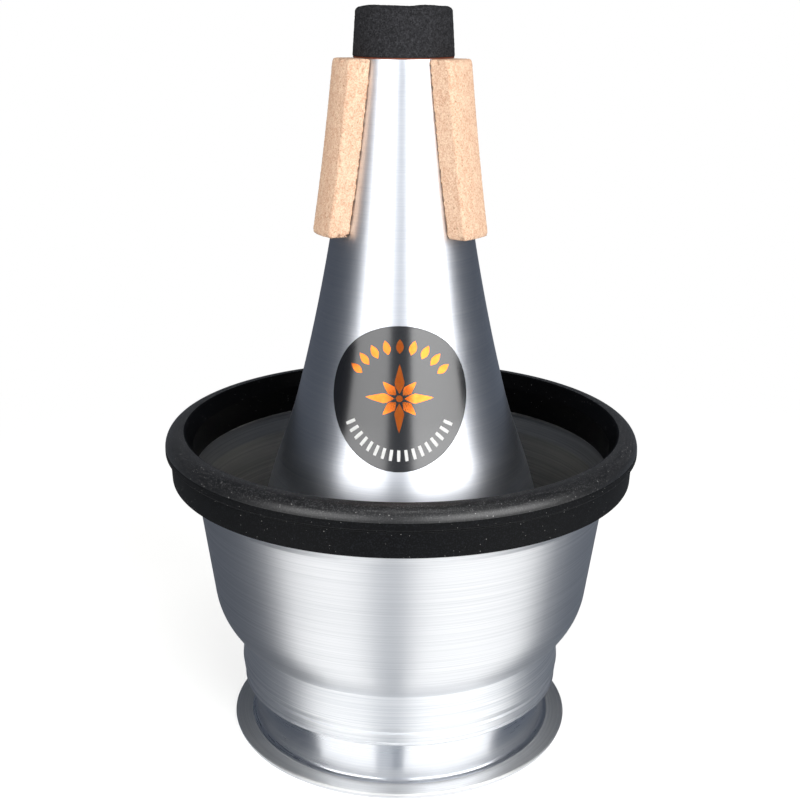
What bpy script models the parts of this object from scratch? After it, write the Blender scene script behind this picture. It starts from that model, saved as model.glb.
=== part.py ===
"""Adjustable cup mute for a trumpet.

A thin spun body stands on its flange, with its narrow end up. A spun cup slides and turns on the
body's skirt, held by a friction band, and a rubber ring protects the cup's rim. Three cork strips
wedge the body in the bell of the instrument. The origin is on the axis, under the flange, +Z up.
"""
import math

import bmesh
import bpy

MM = 0.001

# Facets round every turned piece, steps in each rounded corner, and the most of its shorter side
# that a rounding may take
FACETS = 48
ROUND_STEPS = 3
ROUND_SHARE = 0.95

# Gap kept between pieces that lie on each other
FIT_GAP = 0.3 * MM

# Spun body: sheet, flange, skirt, and the cone that flares down to the shoulder
BODY_WALL = 0.6 * MM
FLANGE_WIDTH = 5.2 * MM
FLANGE_ROUND = 1.0 * MM
SKIRT_RADIUS = 36.3 * MM
SHOULDER_HEIGHT = 47.0 * MM
SHOULDER_ROUND = 14.0 * MM
CONE_TOP = 161.2 * MM
CONE_TOP_RADIUS = 11.1 * MM
TAPER_SHARE = 0.5
FLARE_POWER = 2.3
FLARE_STEPS = 9

# Base plate: flat rim under the flange, centre pressed up inside the skirt
BASE_SHEET = 0.5 * MM
BASE_PRESS_DEPTH = 2.0 * MM
BASE_ROUND = 0.9 * MM

# Foam bumper on the narrow end: a ring a little wider than the cone's end, and a spigot glued inside
TIP_LENGTH = 10.8 * MM
TIP_OVERHANG = 0.2 * MM
TIP_TAPER = 0.7 * MM
TIP_ROUND = 1.1 * MM
TIP_BORE_RADIUS = 7.0 * MM
TIP_SPIGOT_LENGTH = 7.0 * MM

# Cork strips: straight blocks cut square, bedded on the cone, set out by hand
CORK_WIDTH = 9.0 * MM
CORK_THICKNESS = 4.8 * MM
CORK_LENGTH = 38.0 * MM
CORK_TOP_ROUND = 1.2 * MM
CORK_FOOT_ROUND = 1.3 * MM
CORK_STEPS = 3
CORK_LEFT_AZIMUTH = -62.0
CORK_RIGHT_AZIMUTH = 53.0
CORK_REAR_AZIMUTH = 175.5

# Round sticker wrapped on the cone
LABEL_DIAMETER = 32.0 * MM
LABEL_THICKNESS = 0.25 * MM
LABEL_GAP = 0.15 * MM
LABEL_HEIGHT = 89.6 * MM
LABEL_AZIMUTH = -1.2
LABEL_STEPS = 4
LABEL_OUTLINE_SIDES = 40

# Friction band between the cup's collar and the skirt, its foot above the cup's lip
GRIP_THICKNESS = 1.1 * MM
GRIP_FOOT = 2.0 * MM
GRIP_LENGTH = 9.0 * MM

# Cup bowl: heights are above its lip, which stands this far above the table
CUP_STAND = 12.0 * MM
BOWL_WALL = 0.6 * MM
GROOVE_HEIGHT = 3.6 * MM
GROOVE_DEPTH = 0.5 * MM
COLLAR_ROUND = 0.7 * MM
NECK_HEIGHT = 12.5 * MM
BOWL_TURN_HEIGHT = 17.4 * MM
BOWL_TURN_ROUND = 18.0 * MM
RIM_CREASE_HEIGHT = 49.5 * MM
RIM_CREASE_ROUND = 1.5 * MM
RIM_RISE = 3.9 * MM
RIM_STRAIGHT = 6.6 * MM
RIM_RADIUS = 51.4 * MM

# How far the bowl widens: from lip to collar, lip to neck, belly to crease, and crease to rim
COLLAR_SWELL = 0.8 * MM
NECK_SWELL = 0.2 * MM
BELLY_FLARE = 4.3 * MM
RIM_FLARE = 2.5 * MM

# Rubber ring: rubber outside, above and inside the slot that grips the bowl's rim
BUMPER_BAND_WALL = 3.2 * MM
BUMPER_FOOT_WALL = 2.9 * MM
BUMPER_INNER_WALL = 1.0 * MM
BUMPER_CROWN = 4.3 * MM
BUMPER_BEAD_PROUD = 1.1 * MM
BUMPER_BEAD_HEIGHT = 4.4 * MM
BUMPER_BEAD_ROUND = 2.4 * MM
BUMPER_SKIRT_LENGTH = 6.7 * MM
BUMPER_INNER_CLEARANCE = 1.1 * MM
BUMPER_MOUTH_FLARE = 1.9 * MM
BUMPER_MOUTH_DEPTH = 3.4 * MM
BUMPER_EDGE_ROUND = 0.5 * MM

# Places that two pieces share: the flange's edge, and the cup's lip and rim
FLANGE_RADIUS = SKIRT_RADIUS + FLANGE_WIDTH
GRIP_RADIUS = SKIRT_RADIUS + FIT_GAP + GRIP_THICKNESS
LIP_RADIUS = GRIP_RADIUS + FIT_GAP + BOWL_WALL
RIM_FOOT = RIM_CREASE_HEIGHT + RIM_RISE
RIM_HEIGHT = RIM_FOOT + RIM_STRAIGHT


def cone_radius(height):
    """Outer radius of the cone: part of its growth is a straight taper, the rest is the flare."""
    down = (CONE_TOP - height) / (CONE_TOP - SHOULDER_HEIGHT)
    growth = TAPER_SHARE * down + (1.0 - TAPER_SHARE) * down ** FLARE_POWER
    return CONE_TOP_RADIUS + (SKIRT_RADIUS - CONE_TOP_RADIUS) * growth


def flare_points(top, foot, steps, offset=0.0):
    """Points down the cone's surface, moved outwards by an offset."""
    heights = [top + (foot - top) * i / steps for i in range(steps + 1)]
    return [(cone_radius(height) + offset, height, 0.0) for height in heights]


def round_corner(before, corner, after, radius):
    """Points of the arc that rounds one corner of an outline, within the corner's shorter side."""
    x, y = corner
    to_before = math.atan2(before[1] - y, before[0] - x)
    to_after = math.atan2(after[1] - y, after[0] - x)
    opening = (to_after - to_before) % (2.0 * math.pi)
    if opening > math.pi:
        opening -= 2.0 * math.pi
    half = opening / 2.0
    side = min(math.dist(before, corner), math.dist(after, corner))
    radius = min(radius, ROUND_SHARE * side * math.tan(abs(half)))
    middle = to_before + half
    reach = radius / math.sin(abs(half))
    centre = (x + reach * math.cos(middle), y + reach * math.sin(middle))
    sweep = math.pi - abs(opening)
    start = to_before - math.copysign(math.pi / 2.0, opening)
    turn = -math.copysign(sweep, opening)
    points = []
    for step in range(ROUND_STEPS + 1):
        angle = start + turn * step / ROUND_STEPS
        points.append((centre[0] + radius * math.cos(angle), centre[1] + radius * math.sin(angle)))
    return points


def outline(corners, closed):
    """Turn corners of (radius, height, rounding) into the points of a profile."""
    points = []
    count = len(corners)
    for index, (radius, height, rounding) in enumerate(corners):
        at_end = not closed and index in (0, count - 1)
        if rounding == 0.0 or at_end:
            points.append((radius, height))
            continue
        before = corners[index - 1][:2]
        after = corners[(index + 1) % count][:2]
        points.extend(round_corner(before, (radius, height), after, rounding))
    return points


def new_material(name, colour, roughness, metallic):
    """A plain finish for one piece."""
    material = bpy.data.materials.new(name)
    material.use_nodes = True
    shader = material.node_tree.nodes["Principled BSDF"]
    shader.inputs["Base Color"].default_value = (*colour, 1.0)
    shader.inputs["Roughness"].default_value = roughness
    shader.inputs["Metallic"].default_value = metallic
    return material


def turned(name, corners, closed, material):
    """A profile of corners, turned about the Z axis."""
    points = outline(corners, closed)
    edges = [(i, i + 1) for i in range(len(points) - 1)]
    if closed:
        edges.append((len(points) - 1, 0))
    mesh = bpy.data.meshes.new(name)
    mesh.from_pydata([(radius, 0.0, height) for radius, height in points], edges, [])
    mesh.materials.append(material)
    piece = bpy.data.objects.new(name, mesh)
    PARTS.objects.link(piece)
    screw = piece.modifiers.new("Turn", "SCREW")
    screw.axis = "Z"
    screw.angle = 2.0 * math.pi
    screw.steps = FACETS
    screw.render_steps = FACETS
    screw.use_merge_vertices = True
    screw.merge_threshold = 0.00001
    screw.use_smooth_shade = True
    return piece


def add_wall(piece, thickness):
    """Give an open turned surface its sheet thickness, inwards."""
    wall = piece.modifiers.new("Wall", "SOLIDIFY")
    wall.thickness = thickness
    wall.offset = -1.0
    wall.use_even_offset = True


def keep_inside(piece, cutter):
    """Cut a turned blank to what lies inside a cutter."""
    cut = piece.modifiers.new("Cut", "BOOLEAN")
    cut.operation = "INTERSECT"
    cut.solver = "EXACT"
    cut.object = cutter


def new_cutter(name, build):
    """A hidden solid that only shapes another piece."""
    mesh = bpy.data.meshes.new(name)
    shape = bmesh.new()
    build(shape)
    shape.to_mesh(mesh)
    shape.free()
    cutter = bpy.data.objects.new(name, mesh)
    cutter.hide_render = True
    cutter.display_type = "WIRE"
    CUTTERS.objects.link(cutter)
    return cutter


def place_at_azimuth(thing, azimuth, radius, height):
    """Put a thing in front of the axis, then carry it round by an azimuth in degrees."""
    angle = math.radians(azimuth)
    thing.location = (radius * math.sin(angle), -radius * math.cos(angle), height)
    thing.rotation_euler.z = angle


def make_body_shell():
    """Spun aluminium: cone, shoulder, skirt and the flange turned out at the foot."""
    flange_top = BASE_SHEET + FIT_GAP + BODY_WALL
    corners = flare_points(CONE_TOP, SHOULDER_HEIGHT, FLARE_STEPS)
    corners[-1] = (SKIRT_RADIUS, SHOULDER_HEIGHT, SHOULDER_ROUND)
    corners.append((SKIRT_RADIUS, flange_top, FLANGE_ROUND))
    corners.append((FLANGE_RADIUS, flange_top, 0.0))
    piece = turned("body_shell", corners, False, ALUMINIUM)
    add_wall(piece, BODY_WALL)


def make_base_plate():
    """Pressed disc that closes the wide end, lying under the flange."""
    locating_radius = SKIRT_RADIUS - BODY_WALL - FIT_GAP
    corners = [
        (0.0, BASE_SHEET + BASE_PRESS_DEPTH, 0.0),
        (locating_radius, BASE_SHEET + BASE_PRESS_DEPTH, BASE_ROUND),
        (locating_radius, BASE_SHEET, BASE_ROUND / 2.0),
        (FLANGE_RADIUS, BASE_SHEET, 0.0),
    ]
    piece = turned("base_plate", corners, False, PLATE_ALUMINIUM)
    add_wall(piece, BASE_SHEET)


def make_tip_bumper():
    """Foam ring with an open bore, so that sound still enters the narrow end."""
    foot = CONE_TOP + FIT_GAP
    top = foot + TIP_LENGTH
    foot_radius = CONE_TOP_RADIUS + TIP_OVERHANG
    spigot_radius = CONE_TOP_RADIUS - BODY_WALL - FIT_GAP
    corners = [
        (TIP_BORE_RADIUS, top, TIP_ROUND / 2.0),
        (foot_radius - TIP_TAPER, top, TIP_ROUND),
        (foot_radius, foot, 0.0),
        (spigot_radius, foot, 0.0),
        (spigot_radius, foot - TIP_SPIGOT_LENGTH, 0.0),
        (TIP_BORE_RADIUS, foot - TIP_SPIGOT_LENGTH, 0.0),
    ]
    turned("tip_bumper", corners, True, FOAM)


def make_cork_strip(side, azimuth):
    """One cork block: its bed follows the cone, its sides are cut square."""
    foot = CONE_TOP - CORK_LENGTH
    outer = flare_points(CONE_TOP, foot, CORK_STEPS, CORK_THICKNESS)
    bed = flare_points(foot, CONE_TOP, CORK_STEPS, FIT_GAP)
    outer[0] = (*outer[0][:2], CORK_TOP_ROUND)
    outer[-1] = (*outer[-1][:2], CORK_FOOT_ROUND)
    piece = turned(f"cork_strip_{side}", outer + bed, True, CORK)

    # The box is longer than the strip, so that only its two side faces cut
    reach = 2.0 * (cone_radius(foot) + CORK_THICKNESS)
    box_length = CORK_LENGTH + 2.0 * CORK_THICKNESS

    def build(shape):
        bmesh.ops.create_cube(shape, size=1.0)
        bmesh.ops.scale(shape, vec=(CORK_WIDTH, reach, box_length), verts=shape.verts)

    box = new_cutter(f"cork_cut_{side}", build)
    place_at_azimuth(box, azimuth, reach / 2.0, CONE_TOP - CORK_LENGTH / 2.0)
    keep_inside(piece, box)


def make_label():
    """Round sticker on the front of the cone, cut from a thin skin that follows the flare."""
    half = LABEL_DIAMETER / 2.0
    margin = LABEL_DIAMETER / 8.0
    top = LABEL_HEIGHT + half + margin
    foot = LABEL_HEIGHT - half - margin
    outer = flare_points(top, foot, LABEL_STEPS, LABEL_GAP + LABEL_THICKNESS)
    back = flare_points(foot, top, LABEL_STEPS, LABEL_GAP)
    piece = turned("label", outer + back, True, LABEL_FILM)

    # Wrapped on the cone, the disc is narrower across than it is tall
    radius = cone_radius(LABEL_HEIGHT)
    chord = 2.0 * radius * math.sin(half / radius)
    rise = cone_radius(foot) - cone_radius(top)
    tilt = math.atan2(rise, top - foot)

    def build(shape):
        bmesh.ops.create_cone(
            shape, cap_ends=True, segments=LABEL_OUTLINE_SIDES, radius1=half, radius2=half,
            depth=2.0 * half,
        )
        bmesh.ops.scale(shape, vec=(chord / LABEL_DIAMETER, 1.0, 1.0), verts=shape.verts)

    disc = new_cutter("label_cut", build)
    place_at_azimuth(disc, LABEL_AZIMUTH, radius, LABEL_HEIGHT)
    disc.rotation_euler.x = math.pi / 2.0 - tilt
    keep_inside(piece, disc)


def make_cup_bowl(slider):
    """Spun bowl: flared rim, round belly, neck, collar with a groove, and the lip at its foot."""
    crease_radius = RIM_RADIUS - RIM_FLARE
    belly_radius = crease_radius - BELLY_FLARE
    collar_radius = LIP_RADIUS + COLLAR_SWELL
    corners = [
        (RIM_RADIUS, RIM_HEIGHT, 0.0),
        (RIM_RADIUS, RIM_FOOT, RIM_CREASE_ROUND),
        (crease_radius, RIM_CREASE_HEIGHT, RIM_CREASE_ROUND),
        (belly_radius, BOWL_TURN_HEIGHT, BOWL_TURN_ROUND),
        (LIP_RADIUS + NECK_SWELL, NECK_HEIGHT, 0.0),
        (collar_radius, GROOVE_HEIGHT + 2.0 * COLLAR_ROUND, COLLAR_ROUND),
        (collar_radius - GROOVE_DEPTH, GROOVE_HEIGHT, 0.0),
        (LIP_RADIUS, 0.0, 0.0),
    ]
    piece = turned("cup_bowl", corners, False, CUP_ALUMINIUM)
    add_wall(piece, BOWL_WALL)
    piece.parent = slider


def make_grip_ring(slider):
    """Friction band held in the collar, between the lip and the neck."""
    inner_radius = SKIRT_RADIUS + FIT_GAP
    top = GRIP_FOOT + GRIP_LENGTH
    corners = [
        (GRIP_RADIUS, top, 0.0),
        (GRIP_RADIUS, GRIP_FOOT, 0.0),
        (inner_radius, GRIP_FOOT, 0.0),
        (inner_radius, top, 0.0),
    ]
    piece = turned("grip_ring", corners, True, GRIP_RUBBER)
    piece.parent = slider


def make_rim_bumper(slider):
    """Rubber ring: a round bead on top, and a slot below that takes the bowl's rim."""
    slot_outer = RIM_RADIUS + FIT_GAP
    slot_inner = RIM_RADIUS - BOWL_WALL - FIT_GAP
    slot_top = RIM_HEIGHT + FIT_GAP
    top = slot_top + BUMPER_CROWN
    bead_foot = top - BUMPER_BEAD_HEIGHT
    band_radius = slot_outer + BUMPER_BAND_WALL
    bead_radius = band_radius + BUMPER_BEAD_PROUD
    foot = RIM_HEIGHT - BUMPER_SKIRT_LENGTH
    inner_foot = RIM_FOOT + BUMPER_INNER_CLEARANCE
    inner_radius = slot_inner - BUMPER_INNER_WALL
    corners = [
        (inner_radius + BUMPER_MOUTH_FLARE, top, BUMPER_EDGE_ROUND),
        (bead_radius, top, BUMPER_BEAD_ROUND),
        (bead_radius, bead_foot, BUMPER_EDGE_ROUND),
        (band_radius, bead_foot, 0.0),
        (slot_outer + BUMPER_FOOT_WALL, foot, BUMPER_EDGE_ROUND),
        (slot_outer, foot, 0.0),
        (slot_outer, slot_top, 0.0),
        (slot_inner, slot_top, 0.0),
        (slot_inner, inner_foot, 0.0),
        (inner_radius, inner_foot, 0.0),
        (inner_radius, top - BUMPER_MOUTH_DEPTH, BUMPER_EDGE_ROUND),
    ]
    piece = turned("rim_bumper", corners, True, RUBBER)
    piece.parent = slider


for old in list(bpy.data.objects):
    bpy.data.objects.remove(old, do_unlink=True)

PARTS = bpy.data.collections.new("trumpet_cup_mute")
CUTTERS = bpy.data.collections.new("cutters")
bpy.context.scene.collection.children.link(PARTS)
bpy.context.scene.collection.children.link(CUTTERS)

ALUMINIUM = new_material("spun_aluminium_body", (0.62, 0.64, 0.67), 0.28, 1.0)
PLATE_ALUMINIUM = new_material("pressed_aluminium_plate", (0.55, 0.56, 0.58), 0.38, 1.0)
CUP_ALUMINIUM = new_material("spun_aluminium_cup", (0.64, 0.66, 0.69), 0.30, 1.0)
CORK = new_material("agglomerated_cork", (0.78, 0.53, 0.33), 0.90, 0.0)
FOAM = new_material("closed_cell_foam", (0.018, 0.018, 0.020), 0.95, 0.0)
LABEL_FILM = new_material("black_gloss_film", (0.015, 0.014, 0.015), 0.22, 0.0)
GRIP_RUBBER = new_material("friction_rubber", (0.030, 0.030, 0.032), 0.85, 0.0)
RUBBER = new_material("moulded_rubber", (0.014, 0.014, 0.015), 0.60, 0.0)

make_body_shell()
make_base_plate()
make_tip_bumper()
make_cork_strip("left", CORK_LEFT_AZIMUTH)
make_cork_strip("right", CORK_RIGHT_AZIMUTH)
make_cork_strip("rear", CORK_REAR_AZIMUTH)
make_label()

# The cup's pieces hang on one empty, on the axis, at the height of the cup's lip
cup_slider = bpy.data.objects.new("cup_slider", None)
cup_slider.location.z = CUP_STAND
PARTS.objects.link(cup_slider)
make_cup_bowl(cup_slider)
make_grip_ring(cup_slider)
make_rim_bumper(cup_slider)
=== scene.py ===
"""A trumpet cup mute: spun aluminium body and cup, cork strips, a foam tip and a rubber rim ring."""
import math

import bmesh
import bpy
import numpy as np
from mathutils import Matrix, Vector, noise


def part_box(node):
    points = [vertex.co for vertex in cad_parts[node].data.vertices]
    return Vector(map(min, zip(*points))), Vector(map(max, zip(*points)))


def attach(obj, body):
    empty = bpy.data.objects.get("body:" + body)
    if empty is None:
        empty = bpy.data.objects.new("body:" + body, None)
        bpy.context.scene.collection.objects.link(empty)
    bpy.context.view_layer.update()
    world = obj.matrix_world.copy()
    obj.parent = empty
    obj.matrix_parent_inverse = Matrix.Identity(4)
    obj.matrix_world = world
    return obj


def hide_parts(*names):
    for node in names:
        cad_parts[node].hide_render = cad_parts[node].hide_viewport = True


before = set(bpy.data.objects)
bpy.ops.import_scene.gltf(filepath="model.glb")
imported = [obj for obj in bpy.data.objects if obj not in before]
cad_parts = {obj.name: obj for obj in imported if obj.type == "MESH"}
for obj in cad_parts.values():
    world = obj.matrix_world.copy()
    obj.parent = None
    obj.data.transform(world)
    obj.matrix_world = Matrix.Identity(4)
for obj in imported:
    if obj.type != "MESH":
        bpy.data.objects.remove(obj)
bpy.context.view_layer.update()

MM = 0.001

# The camera: a short telephoto, close and a little above the rim, looking down into the cup.
# It is rolled a third of a degree, because the mute leans that much in the photograph.
CAMERA_PLACE = Vector((-0.35, -293.9, 173.9)) * MM
CAMERA_DOWN = math.radians(17.36)
CAMERA_ROLL = math.radians(0.34)
CAMERA_LENS = 58.02
CAMERA_SENSOR = 36.0
CAMERA_NEAR = 10.0 * MM

camera = bpy.data.objects.new("camera", bpy.data.cameras.new("camera"))
camera.data.lens = CAMERA_LENS
camera.data.sensor_width = CAMERA_SENSOR
camera.data.clip_start = CAMERA_NEAR
camera.matrix_world = (
    Matrix.Translation(CAMERA_PLACE)
    @ Matrix.Rotation(math.pi / 2.0 - CAMERA_DOWN, 4, "X")
    @ Matrix.Rotation(CAMERA_ROLL, 4, "Z")
)
bpy.context.scene.collection.objects.link(camera)
bpy.context.scene.camera = camera
bpy.context.scene.view_settings.view_transform = "Standard"


def linear(code):
    """An sRGB hex colour as linear light."""
    values = [int(code[i:i + 2], 16) / 255.0 for i in (1, 3, 5)]
    return [v / 12.92 if v <= 0.04045 else ((v + 0.055) / 1.055) ** 2.4 for v in values] + [1.0]


def add(tree, kind, settings=None, **links):
    """Add a node: settings name its properties and sockets, links name what feeds a socket."""
    node = tree.nodes.new(kind)
    for key, value in (settings or {}).items():
        if isinstance(key, int) or key in node.inputs:
            node.inputs[key].default_value = value
        else:
            setattr(node, key, value)
    for key, source in links.items():
        socket = node.inputs[int(key[1:])] if key[0] == "i" and key[1:].isdigit() else node.inputs[key]
        tree.links.new(source, socket)
    return node


def new_tree(name, world=False):
    """An empty node tree of a material or a world, and its output."""
    block = (bpy.data.worlds if world else bpy.data.materials).new(name)
    block.use_nodes = True
    tree = block.node_tree
    tree.nodes.clear()
    return block, tree, tree.nodes.new("ShaderNodeOutputWorld" if world else "ShaderNodeOutputMaterial")


# The studio: a white table, two wide softboxes at the front, a strip light above it, and dark
# cloth round the rest, which gives spun metal its dark edges. The cloth isn't lit: it glows with
# set shades, a painted reflection. Cloth and lamps are seen only as reflections.
TABLE_REACH = 1500.0 * MM
TABLE_LIT_RADIUS = 90.0 * MM
TABLE_FADE_RADIUS = 320.0 * MM
TABLE_LIFT = 0.50
AMBIENT = 0.38


def rays_that_see(tree):
    """1 for the rays that show a surface: to the camera, by reflection or through glass."""
    path = add(tree, "ShaderNodeLightPath")
    straight = add(tree, "ShaderNodeMath", {"operation": "MAXIMUM"}, i0=path.outputs["Is Camera Ray"],
                   i1=path.outputs["Is Glossy Ray"])
    either = add(tree, "ShaderNodeMath", {"operation": "MAXIMUM"}, i0=straight.outputs[0],
                 i1=path.outputs["Is Transmission Ray"])
    return either.outputs[0]


world, tree, output = new_tree("white_cove", world=True)
level = add(tree, "ShaderNodeMapRange", {"To Min": AMBIENT, "To Max": 1.0}, Value=rays_that_see(tree))
sky = add(tree, "ShaderNodeBackground", {"Color": linear("#ffffff")}, Strength=level.outputs[0])
tree.links.new(sky.outputs[0], output.inputs["Surface"])
bpy.context.scene.world = world


def toward(azimuth, radius, height):
    """A point round the axis: azimuth in degrees from the front towards the right."""
    angle = math.radians(azimuth)
    return (radius * math.sin(angle), -radius * math.cos(angle), height)


def stage_sheet(name, corners, faces, material):
    """A piece of the studio, made of a few flat faces."""
    mesh = bpy.data.meshes.new(name)
    mesh.from_pydata(corners, [], faces)
    mesh.materials.append(material)
    sheet = bpy.data.objects.new(name, mesh)
    bpy.context.scene.collection.objects.link(sheet)
    return sheet


# Matt white table top: a light of its own grows away from the mute, so that it ends in pure white
table_top, tree, output = new_tree("matt_white_table")
place = add(tree, "ShaderNodeTexCoord")
distance = add(tree, "ShaderNodeVectorMath", {"operation": "LENGTH"}, i0=place.outputs["Object"])
fade = add(tree, "ShaderNodeMapRange", {"interpolation_type": "SMOOTHSTEP", "From Min": TABLE_LIT_RADIUS,
           "From Max": TABLE_FADE_RADIUS}, Value=distance.outputs["Value"])
matt = add(tree, "ShaderNodeBsdfDiffuse", {"Color": linear("#f4f4f2")})
lift = add(tree, "ShaderNodeEmission", {"Strength": TABLE_LIFT})
lit = add(tree, "ShaderNodeAddShader", i0=matt.outputs[0], i1=lift.outputs[0])
white = add(tree, "ShaderNodeEmission", {"Strength": 1.0})
cove = add(tree, "ShaderNodeMixShader", i0=fade.outputs[0], i1=lit.outputs[0], i2=white.outputs[0])
shown = add(tree, "ShaderNodeMixShader", i0=rays_that_see(tree), i1=matt.outputs[0], i2=cove.outputs[0])
tree.links.new(shown.outputs[0], output.inputs["Surface"])
corners = [(x * TABLE_REACH, y * TABLE_REACH, 0.0) for x, y in ((-1, -1), (1, -1), (1, 1), (-1, 1))]
stage_sheet("table_top", corners, [(0, 1, 2, 3)], table_top)

# Dark cloth that glows with set shades, a painted reflection: a round wall with a lid, a grey card
# between the softboxes, and fans laid on the table, each from one azimuth to another at the mute,
# and from one to another at the wall. The two pale fans at the front paint the lit table's reflection.
CLOTH_RADIUS = 1000.0 * MM
CLOTH_HEIGHT = 1400.0 * MM
CARD_DISTANCE = 700.0 * MM
CARD_ENDS = (-17.0, 16.0)
CARD_TOP = 650.0 * MM
WALL_SIDES = 48
FAN_INNER = 42.5 * MM
FAN_LIFT = 0.1 * MM
FAN_STEPS = 16
CLOTH_FANS = (
    (-34.0, -120.0, -72.0, -170.0, "#525760"),
    (40.0, 120.0, 85.0, 170.0, "#5d646f"),
    (-10.0, -3.0, -17.0, -4.0, "#ccd0d5"),
    (-3.0, 1.5, -4.0, 6.0, "#979da5"),
)


def glowing_cloth_sheet(name, corners, faces, shade):
    """A piece of cloth that glows with one even shade, a painted reflection, and hides or shades nothing."""
    cloth, tree, output = new_tree(name)
    even = add(tree, "ShaderNodeEmission", {"Color": linear(shade), "Strength": 1.0})
    tree.links.new(even.outputs[0], output.inputs["Surface"])
    sheet = stage_sheet(name, corners, faces, cloth)
    sheet.visible_camera = False
    sheet.visible_diffuse = False
    sheet.visible_shadow = False


ends = (0.0, CLOTH_HEIGHT)
corners = [toward(360.0 * i / WALL_SIDES, CLOTH_RADIUS, z) for z in ends for i in range(WALL_SIDES)]
nexts = [(i + 1) % WALL_SIDES for i in range(WALL_SIDES)]
faces = [(i, j, WALL_SIDES + j, WALL_SIDES + i) for i, j in enumerate(nexts)]
faces.append(tuple(range(WALL_SIDES, 2 * WALL_SIDES)))
glowing_cloth_sheet("cloth_wall", corners, faces, "#484d56")
corners = [toward(azimuth, CARD_DISTANCE, z) for z in (0.0, CARD_TOP) for azimuth in CARD_ENDS]
glowing_cloth_sheet("grey_card", corners, [(0, 1, 3, 2)], "#969ca4")
for number, (inner_start, inner_end, outer_start, outer_end, shade) in enumerate(CLOTH_FANS):
    inner = np.linspace(inner_start, inner_end, FAN_STEPS + 1)
    outer = np.linspace(outer_start, outer_end, FAN_STEPS + 1)
    corners = [toward(azimuth, FAN_INNER, FAN_LIFT) for azimuth in inner]
    corners += [toward(azimuth, CLOTH_RADIUS, FAN_LIFT) for azimuth in outer]
    faces = [(i, i + 1, FAN_STEPS + 2 + i, FAN_STEPS + 1 + i) for i in range(FAN_STEPS)]
    glowing_cloth_sheet(f"cloth_fan_{number}", corners, faces, shade)

# Softboxes, lying on their sides: azimuths of their two ends, and watts
SOFTBOX_DISTANCE = 520.0 * MM
SOFTBOX_FOOT = 125.0 * MM
SOFTBOX_TOP = 480.0 * MM
SOFTBOXES = {"softbox_left": (-57.0, -14.0, 1.4), "softbox_right": (11.0, 68.0, 2.7)}
# A strip light above the front, which draws the broad highlight along the rubber bead
STRIP_AZIMUTH = 12.0
STRIP_DISTANCE = 170.0 * MM
STRIP_HEIGHT = 520.0 * MM
STRIP_SIZE = (280.0 * MM, 130.0 * MM)
STRIP_WATTS = 0.25


def area_lamp(name, place, tilt, azimuth, size, watts):
    """A rectangular lamp, tilted up from facing straight down and turned round the axis."""
    lamp = bpy.data.lights.new(name, "AREA")
    lamp.shape = "RECTANGLE"
    lamp.size, lamp.size_y = size
    lamp.energy = watts
    holder = bpy.data.objects.new(name, lamp)
    holder.location = place
    holder.rotation_euler = (tilt, 0.0, math.radians(azimuth))
    holder.visible_camera = False
    bpy.context.scene.collection.objects.link(holder)


for name, (start, end, watts) in SOFTBOXES.items():
    middle = (start + end) / 2.0
    breadth = 2.0 * SOFTBOX_DISTANCE * math.tan(math.radians(end - start) / 2.0)
    place = toward(middle, SOFTBOX_DISTANCE, (SOFTBOX_TOP + SOFTBOX_FOOT) / 2.0)
    area_lamp(name, place, math.pi / 2.0, middle, (breadth, SOFTBOX_TOP - SOFTBOX_FOOT), watts)
area_lamp("strip_light", toward(STRIP_AZIMUTH, STRIP_DISTANCE, STRIP_HEIGHT),
          math.atan2(STRIP_DISTANCE, STRIP_HEIGHT), STRIP_AZIMUTH, STRIP_SIZE, STRIP_WATTS)


# Mute body: one disc of thin aluminium, spun over a former into a flared cone, a shoulder, a
# straight skirt and a flange turned out at the foot, then polished on the lathe with fine abrasive.
TURN_FACETS = 224
BODY_WALL = 0.6 * MM
SKIRT_RADIUS = 36.3 * MM
SHOULDER_HEIGHT = 47.0 * MM
SHOULDER_ROUND = 14.0 * MM
CONE_TOP_RADIUS = 11.1 * MM
TAPER_SHARE = 0.5
FLARE_POWER = 2.3
FLARE_STEPS = 70
FOOT_SWELL = 0.8 * MM
SWELL_START = 84.0 * MM
SWELL_PEAK = 66.0 * MM
FLANGE_ROUND = 1.0 * MM
CREASE_WIDTH = 0.18 * MM
CREASE_DEPTH = 0.10 * MM
MERGE_REACH = 0.001 * MM
SMOOTH_UP_TO = 35.0
ZONES = 4
ZONE_MARGIN = 0.25
# Outlines: the share of a side that a rounding may take, the angle at which a corner counts as
# straight, a limit on mitres, and how far a cut edge bulges, as a share of the sheet's thickness
ARC_STEPS = 10
LONGEST_ARC = 0.97
STRAIGHT_ENOUGH = 1e-4
MITRE_LIMIT = 0.35
EDGE_BULGE = 0.35
# Marks of the turning tool: how long round the axis, how wide along the profile, and noise detail
PATTERN_RADIUS = 35.0 * MM
QUARTER_TURN = 0.25
RING_GRAIN = (45.0 * MM, 0.25 * MM, 2.0)
STREAK_GRAIN = (7.0 * MM, 0.25 * MM, 2.0)
BAND_GRAIN = (90.0 * MM, 5.0 * MM, 2.0)
body_low, body_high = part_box("body_shell")
CONE_TOP = body_high[2]
FLANGE_RADIUS = body_high[0]
FLANGE_TOP = body_low[2] + BODY_WALL


def smooth_step(start, end, value):
    """0 before the start and 1 past the end, with an even passage between them."""
    share = min(1.0, max(0.0, (value - start) / (end - start)))
    return share * share * (3.0 - 2.0 * share)


def cone_radius(height):
    """Outer radius of the cone at a height: a straight taper, a flare, and a swell at its foot."""
    down = max(0.0, CONE_TOP - height) / (CONE_TOP - SHOULDER_HEIGHT)
    growth = TAPER_SHARE * down + (1.0 - TAPER_SHARE) * down ** FLARE_POWER
    swell = smooth_step(SWELL_START, SWELL_PEAK, height) * smooth_step(SHOULDER_HEIGHT, SWELL_PEAK, height)
    return CONE_TOP_RADIUS + (SKIRT_RADIUS - CONE_TOP_RADIUS) * growth + FOOT_SWELL * swell


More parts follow.
